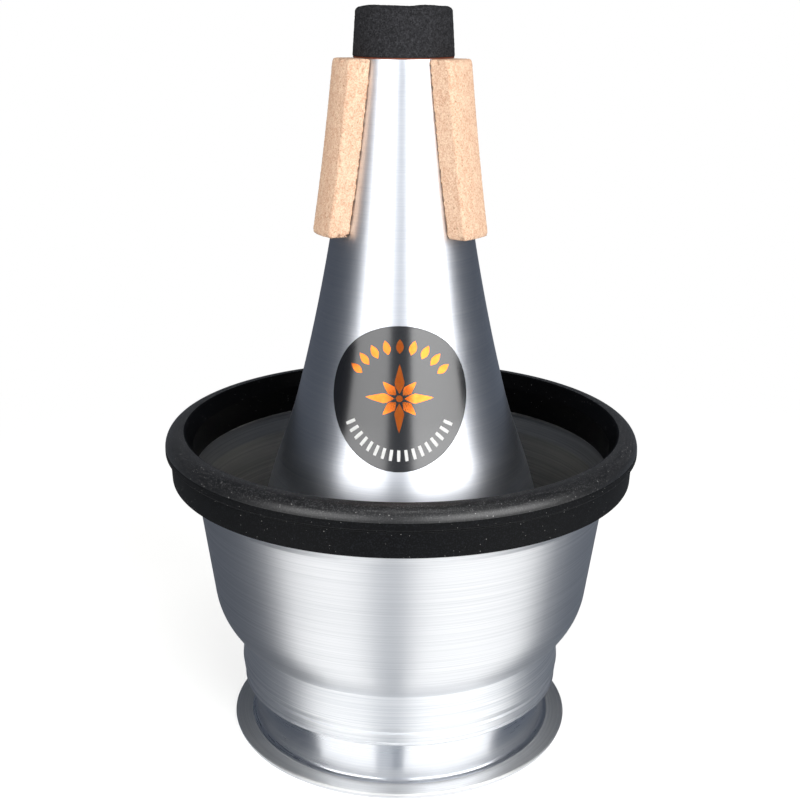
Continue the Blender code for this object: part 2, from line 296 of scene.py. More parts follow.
def rounded(corners, steps=ARC_STEPS):
    """The points of an open outline of (radius, height, rounding) corners, each rounding an arc."""
    points = [Vector(corners[0][:2])]
    for before, corner, after in zip(corners, corners[1:], corners[2:]):
        here = Vector(corner[:2])
        back = Vector(before[:2]) - here
        ahead = Vector(after[:2]) - here
        half = back.angle(ahead) / 2.0
        if corner[2] == 0.0 or half > math.pi / 2.0 - STRAIGHT_ENOUGH:
            points.append(here)
            continue
        reach = min(corner[2] / math.tan(half), LONGEST_ARC * back.length, LONGEST_ARC * ahead.length)
        radius = reach * math.tan(half)
        centre = here + (back.normalized() + ahead.normalized()).normalized() * radius / math.sin(half)
        first = here + back.normalized() * reach - centre
        last = here + ahead.normalized() * reach - centre
        sweep = first.angle_signed(last)
        for step in range(steps + 1):
            turned = first.copy()
            turned.rotate(Matrix.Rotation(-sweep * step / steps, 2))
            points.append(centre + turned)
    points.append(Vector(corners[-1][:2]))
    return points


def sheet_outline(points, wall):
    """Close an outline of a sheet's outer face, top to foot, by its inner face, one wall inwards."""
    inner = []
    for i, here in enumerate(points):
        before = (here - points[i - 1]).normalized() if i else None
        after = (points[i + 1] - here).normalized() if i + 1 < len(points) else None
        along = (before or after) + (after or before)
        along.normalize()
        across = Vector((along.y, -along.x))
        stretch = 1.0 / max(MITRE_LIMIT, across.dot(Vector(((after or before).y, -(after or before).x))))
        inner.append(here + across * wall * stretch)
    bulge = EDGE_BULGE * wall
    foot = (points[-1] + inner[-1]) / 2.0 + (points[-1] - points[-2]).normalized() * bulge
    top = (points[0] + inner[0]) / 2.0 + (points[0] - points[1]).normalized() * bulge
    return points + [foot] + inner[::-1] + [top]


def lathe_tree():
    """Geometry nodes that turn a profile, given as loose points, about the axis.

    Each point has its length along the profile, which the materials read, and a zone, which
    says which of the finishes it gets.
    """
    group = bpy.data.node_groups.new("lathe", "GeometryNodeTree")
    face = group.interface
    face.new_socket("Profile", in_out="INPUT", socket_type="NodeSocketGeometry")
    face.new_socket("Facets", in_out="INPUT", socket_type="NodeSocketInt")
    for zone in range(ZONES):
        face.new_socket(f"Finish {zone}", in_out="INPUT", socket_type="NodeSocketMaterial")
    face.new_socket("Turned", in_out="OUTPUT", socket_type="NodeSocketGeometry")
    given = add(group, "NodeGroupInput")
    count = add(group, "GeometryNodeAttributeDomainSize", Geometry=given.outputs["Profile"])
    columns = add(group, "ShaderNodeMath", {"operation": "ADD", 1: 1.0}, i0=given.outputs["Facets"])
    grid = add(group, "GeometryNodeMeshGrid", **{"Vertices X": count.outputs["Point Count"],
               "Vertices Y": columns.outputs[0]})
    index = add(group, "GeometryNodeInputIndex")
    ratio = add(group, "ShaderNodeMath", {"operation": "DIVIDE"}, i0=index.outputs[0], i1=columns.outputs[0])
    ring = add(group, "ShaderNodeMath", {"operation": "FLOOR"}, i0=ratio.outputs[0])
    step = add(group, "ShaderNodeMath", {"operation": "MODULO"}, i0=index.outputs[0], i1=columns.outputs[0])
    share = add(group, "ShaderNodeMath", {"operation": "DIVIDE"}, i0=step.outputs[0],
                i1=given.outputs["Facets"])
    angle = add(group, "ShaderNodeMath", {"operation": "MULTIPLY", 1: 2.0 * math.pi}, i0=share.outputs[0])
    point = add(group, "GeometryNodeInputPosition")
    sample = add(group, "GeometryNodeSampleIndex", {"data_type": "FLOAT_VECTOR"},
                 Geometry=given.outputs["Profile"], Value=point.outputs[0], Index=ring.outputs[0])
    spun = add(group, "ShaderNodeVectorRotate", {"rotation_type": "Z_AXIS"}, Vector=sample.outputs[0],
               Angle=angle.outputs[0])
    shaped = add(group, "GeometryNodeSetPosition", Geometry=grid.outputs["Mesh"], Position=spun.outputs[0])
    for name in ("along", "zone"):
        known = add(group, "GeometryNodeInputNamedAttribute", {"data_type": "FLOAT", "Name": name})
        picked = add(group, "GeometryNodeSampleIndex", {"data_type": "FLOAT"}, Index=ring.outputs[0],
                     Geometry=given.outputs["Profile"], Value=known.outputs["Attribute"])
        shaped = add(group, "GeometryNodeStoreNamedAttribute", {"data_type": "FLOAT", "Name": name},
                     Geometry=shaped.outputs[0], Value=picked.outputs[0])
    joined = add(group, "GeometryNodeMergeByDistance", {"Distance": MERGE_REACH},
                 Geometry=shaped.outputs[0])
    dressed = add(group, "GeometryNodeRealizeInstances", Geometry=joined.outputs[0])
    own_zone = add(group, "GeometryNodeInputNamedAttribute", {"data_type": "FLOAT", "Name": "zone"})
    for zone in range(ZONES):
        chosen = add(group, "FunctionNodeCompare", {"data_type": "FLOAT", "operation": "GREATER_THAN",
                     1: zone - ZONE_MARGIN}, A=own_zone.outputs["Attribute"])
        dressed = add(group, "GeometryNodeSetMaterial", Geometry=dressed.outputs[0],
                      Selection=chosen.outputs[0], Material=given.outputs[f"Finish {zone}"])
    add(group, "NodeGroupOutput", Turned=dressed.outputs[0])
    return group


LATHE = lathe_tree()


def run_nodes(name, source, group, values):
    """Run a geometry node tree on a mesh and return its result as a plain object at the origin."""
    holder = bpy.data.objects.new(name, source)
    bpy.context.scene.collection.objects.link(holder)
    modifier = holder.modifiers.new(group.name, "NODES")
    modifier.node_group = group
    for item in group.interface.items_tree:
        if item.in_out == "INPUT" and item.name in values:
            modifier[item.identifier] = values[item.name]
    graph = bpy.context.evaluated_depsgraph_get()
    mesh = bpy.data.meshes.new_from_object(holder.evaluated_get(graph))
    bpy.data.objects.remove(holder)
    mesh.name = name
    piece = bpy.data.objects.new(name, mesh)
    bpy.context.scene.collection.objects.link(piece)
    return piece


def face_outwards(mesh, crease=SMOOTH_UP_TO):
    """Merge doubles, point the faces outwards, and shade smooth up to a crease angle in degrees."""
    shape = bmesh.new()
    shape.from_mesh(mesh)
    bmesh.ops.remove_doubles(shape, verts=shape.verts, dist=MERGE_REACH)
    bmesh.ops.dissolve_degenerate(shape, edges=shape.edges, dist=MERGE_REACH / 2.0)
    bmesh.ops.recalc_face_normals(shape, faces=shape.faces)
    shape.to_mesh(mesh)
    shape.free()
    mesh.shade_smooth()
    mesh.set_sharp_from_angle(angle=math.radians(crease))


def turn(name, points, finishes, zones=None, crease=SMOOTH_UP_TO, facets=TURN_FACETS):
    """Turn a closed outline of (radius, height) points; a point's zone picks its finish."""
    outline = bpy.data.meshes.new(name + "_outline")
    closed = [Vector(p[:2]) for p in points] + [Vector(points[0][:2])]
    outline.from_pydata([(p.x, 0.0, p.y) for p in closed], [], [])
    steps = [0.0] + [(after - before).length for before, after in zip(closed, closed[1:])]
    zones = list(zones or [0.0] * len(points))
    for label, values in (("along", np.cumsum(steps)), ("zone", zones + [zones[0]])):
        outline.attributes.new(label, "FLOAT", "POINT").data.foreach_set("value", np.array(values, "f"))
    values = {f"Finish {zone}": finishes[min(zone, len(finishes) - 1)] for zone in range(ZONES)}
    piece = run_nodes(name, outline, LATHE, {"Facets": facets, **values})
    face_outwards(piece.data, crease)
    return piece


def spun_metal(name, shade, dark_shade, roughness, spread, line_depth, streak_depth, anisotropy):
    """Aluminium turned on the lathe: rings round the axis stretch each reflection up and down.

    The pattern lies on a cylinder of one radius, unrolled along the profile, so it has no seam
    and isn't stretched where the metal turns over. Depths are in mm. Spread is how far roughness
    varies, and anisotropy is how strongly the rings stretch reflections.
    """
    material, tree, output = new_tree(name)
    place = add(tree, "ShaderNodeTexCoord")
    flat = add(tree, "ShaderNodeVectorMath", {"operation": "MULTIPLY", 1: (1.0, 1.0, 0.0)},
               i0=place.outputs["Object"])
    unit = add(tree, "ShaderNodeVectorMath", {"operation": "NORMALIZE"}, i0=flat.outputs[0])
    wound = add(tree, "ShaderNodeVectorMath", {"operation": "SCALE", "Scale": PATTERN_RADIUS},
                i0=unit.outputs[0])
    along = add(tree, "ShaderNodeAttribute", {"attribute_name": "along"})
    rise = add(tree, "ShaderNodeCombineXYZ", Z=along.outputs["Fac"])
    skin = add(tree, "ShaderNodeVectorMath", {"operation": "ADD"}, i0=wound.outputs[0],
               i1=rise.outputs[0])

    marks = []
    for long, wide, detail in (RING_GRAIN, STREAK_GRAIN, BAND_GRAIN):
        size = (1.0 / long, 1.0 / long, 1.0 / wide)
        scaled = add(tree, "ShaderNodeMapping", {"Scale": size}, Vector=skin.outputs[0])
        marks.append(add(tree, "ShaderNodeTexNoise", {"Scale": 1.0, "Detail": detail},
                         Vector=scaled.outputs[0]))
    rings, streaks, bands = marks
    tint = add(tree, "ShaderNodeMapRange", {"From Min": 0.3, "From Max": 0.7}, Value=rings.outputs["Fac"])
    colour = add(tree, "ShaderNodeMix", {"data_type": "RGBA", 6: linear(dark_shade), 7: linear(shade)},
                 i0=tint.outputs[0])
    both = add(tree, "ShaderNodeMath", {"operation": "MULTIPLY_ADD", 1: 0.5}, i0=bands.outputs["Fac"],
               i2=streaks.outputs["Fac"])
    dull = add(tree, "ShaderNodeMapRange", {"From Min": 0.45, "From Max": 1.05,
               "To Min": roughness - spread, "To Max": roughness + spread}, Value=both.outputs[0])
    first = add(tree, "ShaderNodeBump", {"Strength": 1.0, "Distance": line_depth * MM},
                Height=rings.outputs["Fac"])
    second = add(tree, "ShaderNodeBump", {"Strength": 1.0, "Distance": streak_depth * MM},
                 Height=streaks.outputs["Fac"], Normal=first.outputs[0])
    round_axis = add(tree, "ShaderNodeTangent", {"direction_type": "RADIAL", "axis": "Z"})
    metal = add(tree, "ShaderNodeBsdfPrincipled", {"Metallic": 1.0, "Anisotropic": anisotropy,
                "Anisotropic Rotation": QUARTER_TURN}, **{"Base Color": colour.outputs[2],
                "Roughness": dull.outputs[0], "Normal": second.outputs[0],
                "Tangent": round_axis.outputs[0]})
    tree.links.new(metal.outputs[0], output.inputs["Surface"])
    return material


flare = [(cone_radius(h), h, 0.0) for h in np.linspace(CONE_TOP, SHOULDER_HEIGHT, FLARE_STEPS)[:-1]]
flare.append((SKIRT_RADIUS, SHOULDER_HEIGHT, SHOULDER_ROUND))
crease_radius = SKIRT_RADIUS + FLANGE_ROUND
foot = [
    (SKIRT_RADIUS, FLANGE_TOP, FLANGE_ROUND),
    (crease_radius + CREASE_WIDTH, FLANGE_TOP, 0.0),
    (crease_radius + 2.0 * CREASE_WIDTH, FLANGE_TOP - CREASE_DEPTH, 0.0),
    (crease_radius + 3.0 * CREASE_WIDTH, FLANGE_TOP, 0.0),
    (FLANGE_RADIUS, FLANGE_TOP, 0.0),
]
# Polished satin outside, finer on the skirt, where the cup slides; the flange is rubbed dull from
# standing; the inside is left as spun
spun_aluminium = spun_metal("satin_spun_aluminium", "#e9ebef", "#dfe2e8", 0.36, 0.03, 0.004, 0.0, 0.20)
slid_aluminium = spun_metal("fine_satin_aluminium_skirt", "#e9ebef", "#dfe2e8", 0.29, 0.03, 0.004, 0.0, 0.45)
rubbed_aluminium = spun_metal("rubbed_aluminium_flange", "#f2f2f0", "#e2e2e1", 0.55, 0.06, 0.006, 0.002,
                              0.20)
as_spun = spun_metal("as_spun_aluminium", "#c4c3bf", "#a9a8a5", 0.50, 0.06, 0.012, 0.003, 0.35)
outer = rounded(flare + foot)
zones = [2.0 if p.x > crease_radius else float(p.y < SHOULDER_HEIGHT) for p in outer]
zones += [2.0] + [3.0] * (len(outer) + 1)
body = turn("spun_body", sheet_outline(outer, BODY_WALL),
            [spun_aluminium, slid_aluminium, rubbed_aluminium, as_spun], zones)
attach(body, "mute")
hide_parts("body_shell")


# Base plate: a disc of thinner sheet, pressed up in the middle, lying under the flange and
# crimped to it, so that the mute's edge shows two sheets. Duller, because it isn't polished.
BASE_SHEET = 0.5 * MM
BASE_PRESS_DEPTH = 2.0 * MM
BASE_GAP = 0.3 * MM
BASE_ROUND = 0.9 * MM
BASE_STEP = 0.12 * MM
BASE_HEM = 1.5 * MM
HEM_GAP = 0.03 * MM
HEM_ROUND = 0.10 * MM
BASE_FOOT_ROUND = 0.15 * MM

press_radius = SKIRT_RADIUS - BODY_WALL - BASE_GAP
plate_edge = FLANGE_RADIUS - BASE_STEP
plate_rim = body_low[2] - HEM_GAP
plate_top = [
    (0.0, BASE_SHEET + BASE_PRESS_DEPTH, 0.0),
    (press_radius, BASE_SHEET + BASE_PRESS_DEPTH, BASE_ROUND),
    (press_radius, BASE_SHEET, BASE_ROUND / 2.0),
    (plate_edge - BASE_HEM, BASE_SHEET, 0.0),
    (plate_edge - BASE_HEM, plate_rim, 0.0),
    (plate_edge, plate_rim, HEM_ROUND),
    (plate_edge, 0.0, BASE_FOOT_ROUND),
    (plate_edge - BASE_HEM, 0.0, 0.0),
]
plate_foot = [
    (press_radius - BASE_SHEET, 0.0),
    (press_radius - BASE_SHEET, BASE_PRESS_DEPTH - BASE_ROUND / 2.0),
    (press_radius - BASE_SHEET - BASE_ROUND / 2.0, BASE_PRESS_DEPTH),
    (0.0, BASE_PRESS_DEPTH),
]
# Rolled sheet as it left the press: greyer than the polished body, with uneven roughness
pressed_aluminium = spun_metal("pressed_aluminium_plate", "#d9dadd", "#ccced3", 0.38, 0.06, 0.004, 0.003,
                               0.30)
plate = turn("pressed_base", rounded(plate_top) + [Vector(p) for p in plate_foot], [pressed_aluminium])
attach(plate, "mute")
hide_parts("base_plate")


# Foam tip: a ring cut from black closed-cell foam and glued into the narrow end. Its cut top is
# a little domed and uneven, and its skin shows the cells. Reddish contact glue shows below it.
TIP_OVERHANG = 0.2 * MM
TIP_TAPER = 0.7 * MM
TIP_ROUND = 1.1 * MM
TIP_FOOT_ROUND = 0.25 * MM
TIP_BORE = 7.0 * MM
TIP_GAP = 0.3 * MM
SPIGOT_LENGTH = 7.0 * MM
FOAM_CELL = 0.26 * MM
FOAM_HAZE = 0.7 * MM
FOAM_STEP = 0.35 * MM
FOAM_FACETS = 200
FOAM_DOME = 0.45 * MM
FOAM_DOME_POWER = 6
FOAM_WAVE = 0.30 * MM
FOAM_WAVE_LENGTH = 5.0 * MM
FOAM_GRAIN = 0.10 * MM
FOAM_GRAIN_RISE = 4.0
GLUE_ROUND = 0.1 * MM
TIP_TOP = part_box("tip_bumper")[1][2]


def finely(points, step):
    """A closed outline with points added, so that none are further apart than a step."""
    result = []
    for here, after in zip(points, points[1:] + points[:1]):
        parts = max(1, math.ceil((after - here).length / step))
        result += [here.lerp(after, part / parts) for part in range(parts)]
    return result


closed_cell_foam, tree, output = new_tree("closed_cell_foam_skin")
place = add(tree, "ShaderNodeTexCoord").outputs["Object"]
cells = add(tree, "ShaderNodeTexVoronoi", {"Scale": 1.0 / FOAM_CELL}, Vector=place)
haze = add(tree, "ShaderNodeTexNoise", {"Scale": 1.0 / FOAM_HAZE, "Detail": 3.0}, Vector=place)
both = add(tree, "ShaderNodeMath", {"operation": "MULTIPLY"}, i0=cells.outputs["Color"],
           i1=haze.outputs["Fac"])
colour = add(tree, "ShaderNodeMix", {"data_type": "RGBA", 6: linear("#131315"), 7: linear("#4e4e52")},
             i0=both.outputs[0])
relief = add(tree, "ShaderNodeBump", {"Strength": 0.8, "Distance": FOAM_GRAIN},
             Height=cells.outputs["Distance"])
foam = add(tree, "ShaderNodeBsdfPrincipled", {"Roughness": 0.95, "Specular IOR Level": 0.2},
           **{"Base Color": colour.outputs[2], "Normal": relief.outputs[0]})
tree.links.new(foam.outputs[0], output.inputs["Surface"])

tip_foot = CONE_TOP + TIP_GAP
tip_radius = CONE_TOP_RADIUS + TIP_OVERHANG
spigot_radius = CONE_TOP_RADIUS - BODY_WALL - TIP_GAP
tip_corners = [
    (TIP_BORE, tip_foot, 0.0),
    (TIP_BORE, TIP_TOP, TIP_ROUND / 2.0),
    (tip_radius - TIP_TAPER, TIP_TOP, TIP_ROUND),
    (tip_radius, tip_foot, TIP_FOOT_ROUND),
    (spigot_radius, tip_foot, 0.0),
    (spigot_radius, tip_foot - SPIGOT_LENGTH, 0.0),
    (TIP_BORE, tip_foot - SPIGOT_LENGTH, 0.0),
]
tip = turn("foam_tip", finely(rounded(tip_corners), FOAM_STEP), [closed_cell_foam], crease=80.0,
           facets=FOAM_FACETS)
tip_normals = [vertex.normal.copy() for vertex in tip.data.vertices]
for vertex, normal in zip(tip.data.vertices, tip_normals):
    here = vertex.co.copy()
    lift = max(0.0, (here.z - tip_foot) / (TIP_TOP - tip_foot))
    grain = noise.noise(here / FOAM_CELL) * FOAM_GRAIN * min(1.0, FOAM_GRAIN_RISE * lift)
    wave = noise.noise(here / FOAM_WAVE_LENGTH) * FOAM_WAVE * lift
    edge = (math.hypot(here.x, here.y) / tip_radius) ** 2
    dome = FOAM_DOME * edge * lift ** FOAM_DOME_POWER
    vertex.co = here + normal * grain + Vector((0.0, 0.0, wave - dome))
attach(tip, "mute")
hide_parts("tip_bumper")

# Dried contact glue: a thin, half glossy line of red-brown below the foam
contact_glue, tree, output = new_tree("dried_contact_glue")
glue = add(tree, "ShaderNodeBsdfPrincipled", {"Base Color": linear("#7a3a20"), "Roughness": 0.4})
tree.links.new(glue.outputs[0], output.inputs["Surface"])
glue_radius = CONE_TOP_RADIUS + TIP_OVERHANG / 2.0
glue_corners = [
    (spigot_radius, tip_foot, 0.0),
    (glue_radius, tip_foot, GLUE_ROUND),
    (glue_radius, CONE_TOP, GLUE_ROUND),
    (spigot_radius, CONE_TOP, 0.0),
]
glue_ring = turn("tip_glue", rounded(glue_corners), [contact_glue])
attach(glue_ring, "mute")


# Cork strips: three blocks sawn from agglomerated cork and glued to the cone, the third behind.
# Pale salmon granules with brown bark flecks; sawn edges that crumble; along the bed, dark glue
# and a painted contact shadow.
CORK_WIDTH = 9.0 * MM
CORK_THICKNESS = 4.8 * MM
CORK_LENGTH = 38.0 * MM
CORK_BED = 0.03 * MM
CORK_AZIMUTHS = {"left": -62.0, "right": 53.0, "rear": 175.5}
CORK_CELLS = (28, 16, 120)
CORK_ROUNDING = (0.3 * MM, 0.5 * MM, 1.2 * MM)
CORK_BED_ROUNDING = 0.1 * MM
GRANULE = 0.7 * MM
GRANULE_RELIEF = 0.10 * MM
GRAINS_PER_GRANULE = 1.6
CORK_FIBRE = 0.33 * MM
BARK_FLECK = 0.6 * MM
CRUMBLE = {"edge": 0.8 * MM, "bed": 3.6 * MM}
CRUMBLE_LENGTH = 0.85 * MM
CRUMBLE_START = 0.05


def block(cells):
    """Corners, from 0 to 1 each way, and outward faces of a block cut into cells."""
    index, faces = {}, []
    for axis in range(3):
        a, b = (axis + 1) % 3, (axis + 2) % 3
        for side in (0, cells[axis]):
            for i in range(cells[a]):
                for j in range(cells[b]):
                    loop = []
                    for across, along in ((0, 0), (1, 0), (1, 1), (0, 1)):
                        place = [side] * 3
                        place[a], place[b] = i + across, j + along
                        loop.append(index.setdefault(tuple(place), len(index)))
                    faces.append(loop if side else loop[::-1])
    return [Vector([p / n for p, n in zip(place, cells)]) for place in index], faces


agglomerated_cork, tree, output = new_tree("sawn_agglomerated_cork")
place = add(tree, "ShaderNodeTexCoord").outputs["Object"]
upright = add(tree, "ShaderNodeMapping", {"Scale": (1.0, 1.0, 0.6)}, Vector=place)
granules = add(tree, "ShaderNodeTexVoronoi", {"Scale": 1.0 / GRANULE}, Vector=upright.outputs[0])
tones = add(tree, "ShaderNodeSeparateColor", Color=granules.outputs["Color"])
fibre = add(tree, "ShaderNodeTexNoise", {"Scale": 1.0 / CORK_FIBRE, "Detail": 3.0}, Vector=place)
bark = add(tree, "ShaderNodeTexNoise", {"Scale": 1.0 / BARK_FLECK, "Detail": 3.0}, Vector=place)
mottle = add(tree, "ShaderNodeMath", {"operation": "MULTIPLY_ADD", 1: 0.16}, i0=tones.outputs[0],
             i2=fibre.outputs["Fac"])
tone = add(tree, "ShaderNodeMapRange", {"From Min": 0.36, "From Max": 0.80}, Value=mottle.outputs[0])
colour = add(tree, "ShaderNodeMix", {"data_type": "RGBA", 6: linear("#d0a083"), 7: linear("#f3d6b9")},
             i0=tone.outputs[0])
flecks = add(tree, "ShaderNodeMapRange", {"From Min": 0.62, "From Max": 0.72, "To Max": 0.6},
             Value=bark.outputs["Fac"])
flecked = add(tree, "ShaderNodeMix", {"data_type": "RGBA", 7: linear("#9a6440")}, i0=flecks.outputs[0],
              i6=colour.outputs[2])
# Near the bed a darker brown: partly glue, partly a painted contact shadow where cork meets the cone
bed = add(tree, "ShaderNodeAttribute", {"attribute_name": "bed"})
ragged = add(tree, "ShaderNodeMath", {"operation": "MULTIPLY_ADD", 1: 0.16}, i0=bark.outputs["Fac"],
             i2=bed.outputs["Fac"])
glued = add(tree, "ShaderNodeMapRange", {"From Min": 0.13, "From Max": 0.08}, Value=ragged.outputs[0])
glue_and_shade_colour = add(tree, "ShaderNodeMix", {"data_type": "RGBA", 7: linear("#9a6a42")}, i0=glued.outputs[0],
              i6=flecked.outputs[2])
relief = add(tree, "ShaderNodeBump", {"Strength": 0.9, "Distance": GRANULE_RELIEF},
             Height=mottle.outputs[0])
cork = add(tree, "ShaderNodeBsdfPrincipled", {"Roughness": 0.88, "Specular IOR Level": 0.25},
           **{"Base Color": glue_and_shade_colour.outputs[2], "Normal": relief.outputs[0]})
tree.links.new(cork.outputs[0], output.inputs["Surface"])

cork_size = Vector((CORK_WIDTH, CORK_THICKNESS - CORK_BED, CORK_LENGTH))
unit_corners, cork_faces = block(CORK_CELLS)
for side, azimuth in CORK_AZIMUTHS.items():
    corners, beds = [], []
    for unit in unit_corners:
        flat = Vector([u * size for u, size in zip(unit, cork_size)])
        round_x, round_y, round_z = CORK_ROUNDING
        rounding = (round_x, round_y if unit.y > 0.5 else CORK_BED_ROUNDING, round_z)
        core = Vector([min(max(f, r), size - r) for f, r, size in zip(flat, rounding, cork_size)])
        out = Vector([(f - c) / r for f, c, r in zip(flat, core, rounding)])
        edge = max(0.0, out.length_squared - 1.0)
        out.normalize()
        smooth = core + Vector([o * r for o, r in zip(out, rounding)])
        here = smooth + Vector((azimuth * MM, 0.0, 0.0))
        grain = noise.noise(here / GRANULE * GRAINS_PER_GRANULE) * GRANULE_RELIEF
        depth = CRUMBLE["edge" if unit.y > 0.5 else "bed"] * min(1.0, edge)
        smooth += out * (grain + min(0.0, noise.noise(here / CRUMBLE_LENGTH) - CRUMBLE_START) * depth)
        height = CONE_TOP - CORK_LENGTH + smooth.z
        radius = cone_radius(height) + CORK_BED + smooth.y
        across = smooth.x - CORK_WIDTH / 2.0
        place = Vector((across, -math.sqrt(radius ** 2 - across ** 2), height))
        place.rotate(Matrix.Rotation(math.radians(azimuth), 3, "Z"))
        corners.append(place)
        beds.append(smooth.y / CORK_THICKNESS)
    mesh = bpy.data.meshes.new(f"cork_{side}")
    mesh.from_pydata(corners, [], cork_faces)
    mesh.attributes.new("bed", "FLOAT", "POINT").data.foreach_set("value", np.array(beds, "f"))
    mesh.materials.append(agglomerated_cork)
    mesh.shade_smooth()
    strip = bpy.data.objects.new(f"cork_{side}", mesh)
    bpy.context.scene.collection.objects.link(strip)
    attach(strip, "mute")
    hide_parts(f"cork_strip_{side}")


# Label: a disc of black gloss film stuck on the cone, with hot foil and white ink on it. The
# design is a plain one: a compass rose, a row of leaves above it and a row of ticks below.
LABEL_RADIUS = 16.0 * MM
LABEL_HEIGHT = 89.6 * MM
LABEL_AZIMUTH = -1.2
LABEL_CREASE = 30.0
FILM_THICKNESS = 0.20 * MM
FILM_BED = 0.02 * MM
FILM_RINGS = 16
FILM_FACETS = 96
FILM_PEEL = 2.0 * MM
FILM_PEEL_DEPTH = 0.002 * MM
FOIL_CRINKLE = MM / 0.9
FOIL_CRINKLE_DEPTH = 0.004 * MM
INK_PATCH = MM / 1.2
PRINT_SUNK = 0.06 * MM
PRINT_PROUD = 0.025 * MM
ROSE_GAP = 1.1 * MM
ROSE_LONG = 6.4 * MM
ROSE_SHORT = 4.0 * MM
ROSE_BREADTH = 1.15 * MM
HUB_RADIUS = 0.75 * MM
HUB_FACETS = 32
LEAF_LENGTH = 3.2 * MM
LEAF_BREADTH = 0.85 * MM
LEAF_CIRCLE = 9.9 * MM
TICK_LENGTH = 2.4 * MM
TICK_BREADTH = 0.36 * MM
TICK_CIRCLE = 11.3 * MM
STRIP_STEPS = 8


def marks_tree():
    """Geometry nodes that set copies of a mark out along an arc, each pointing outwards."""
    group = bpy.data.node_groups.new("marks_on_arc", "GeometryNodeTree")
    face = group.interface
    face.new_socket("Mark", in_out="INPUT", socket_type="NodeSocketGeometry")
    face.new_socket("Count", in_out="INPUT", socket_type="NodeSocketInt")
    for name in ("Circle", "First", "Step"):
        face.new_socket(name, in_out="INPUT", socket_type="NodeSocketFloat")
    face.new_socket("Finish", in_out="INPUT", socket_type="NodeSocketMaterial")
    face.new_socket("Marks", in_out="OUTPUT", socket_type="NodeSocketGeometry")
    given = add(group, "NodeGroupInput")
    index = add(group, "GeometryNodeInputIndex")
    angle = add(group, "ShaderNodeMath", {"operation": "MULTIPLY_ADD"}, i0=index.outputs[0],
                i1=given.outputs["Step"], i2=given.outputs["First"])
    back = add(group, "ShaderNodeMath", {"operation": "MULTIPLY", 1: -1.0}, i0=angle.outputs[0])
    up = add(group, "ShaderNodeCombineXYZ", Y=given.outputs["Circle"])
    spot = add(group, "ShaderNodeVectorRotate", {"rotation_type": "Z_AXIS"}, Vector=up.outputs[0],
               Angle=back.outputs[0])
    spots = add(group, "GeometryNodePoints", Count=given.outputs["Count"], Position=spot.outputs[0])
    turned = add(group, "ShaderNodeCombineXYZ", Z=back.outputs[0])
    copies = add(group, "GeometryNodeInstanceOnPoints", Points=spots.outputs[0],
                 Instance=given.outputs["Mark"], Rotation=turned.outputs[0])
    real = add(group, "GeometryNodeRealizeInstances", Geometry=copies.outputs[0])
    dressed = add(group, "GeometryNodeSetMaterial", Geometry=real.outputs[0],
                  Material=given.outputs["Finish"])
    add(group, "NodeGroupOutput", Marks=dressed.outputs[0])
    return group


def mark(name, length, shares, breadth):
    """A thin flat strip that starts at the origin and points along y; shares give its breadth."""
    corners, faces = [], []
    for step in range(STRIP_STEPS + 1):
        share = np.interp(step / STRIP_STEPS, np.linspace(0.0, 1.0, len(shares)), shares)
        for x, z in ((-1, -PRINT_SUNK), (1, -PRINT_SUNK), (1, PRINT_PROUD), (-1, PRINT_PROUD)):
            corners.append((x * share * breadth, length * step / STRIP_STEPS, z))
    for step in range(STRIP_STEPS):
        low = 4 * step
        faces += [(low + i, low + (i + 1) % 4, low + 4 + (i + 1) % 4, low + 4 + i) for i in range(4)]
    last = 4 * STRIP_STEPS
    faces += [(3, 2, 1, 0), (last, last + 1, last + 2, last + 3)]
    mesh = bpy.data.meshes.new(name)
    mesh.from_pydata(corners, [], faces)
    return mesh


label_slope = math.atan2(cone_radius(LABEL_HEIGHT - MM) - cone_radius(LABEL_HEIGHT + MM), 2.0 * MM)


def wrap_on_cone(piece, bed):
    """Bend a flat piece round the cone: x goes round it, y up its slope, and z stands off it."""
    for vertex in piece.data.vertices:
        across, up, off = vertex.co
        height = LABEL_HEIGHT + up * math.cos(label_slope)
        angle = math.radians(LABEL_AZIMUTH) + across / cone_radius(height)
        radius = cone_radius(height) + (bed + off) * math.cos(label_slope)
        vertex.co = toward(math.degrees(angle), radius, height + (bed + off) * math.sin(label_slope))
    face_outwards(piece.data, LABEL_CREASE)


gloss_film, tree, output = new_tree("black_gloss_vinyl_film")
place = add(tree, "ShaderNodeTexCoord").outputs["Object"]
peel = add(tree, "ShaderNodeTexNoise", {"Scale": 1.0 / FILM_PEEL, "Detail": 1.0}, Vector=place)
relief = add(tree, "ShaderNodeBump", {"Strength": 1.0, "Distance": FILM_PEEL_DEPTH},
             Height=peel.outputs["Fac"])
film = add(tree, "ShaderNodeBsdfPrincipled", {"Base Color": linear("#0d0d11"), "Roughness": 0.20,
           "IOR": 1.66, "Specular IOR Level": 0.72}, Normal=relief.outputs[0])
tree.links.new(film.outputs[0], output.inputs["Surface"])

hot_foil, tree, output = new_tree("copper_hot_foil")
crinkle = add(tree, "ShaderNodeTexNoise", {"Scale": 1.0 / FOIL_CRINKLE, "Detail": 2.0},
              Vector=add(tree, "ShaderNodeTexCoord").outputs["Object"])
tint = add(tree, "ShaderNodeMix", {"data_type": "RGBA", 6: linear("#ec6c26"), 7: linear("#ff8e40")},
           i0=crinkle.outputs["Fac"])
relief = add(tree, "ShaderNodeBump", {"Strength": 1.0, "Distance": FOIL_CRINKLE_DEPTH},
             Height=crinkle.outputs["Fac"])
foil = add(tree, "ShaderNodeBsdfPrincipled", {"Metallic": 1.0, "Roughness": 0.22},
           **{"Base Color": tint.outputs[2], "Normal": relief.outputs[0]})
tree.links.new(foil.outputs[0], output.inputs["Surface"])

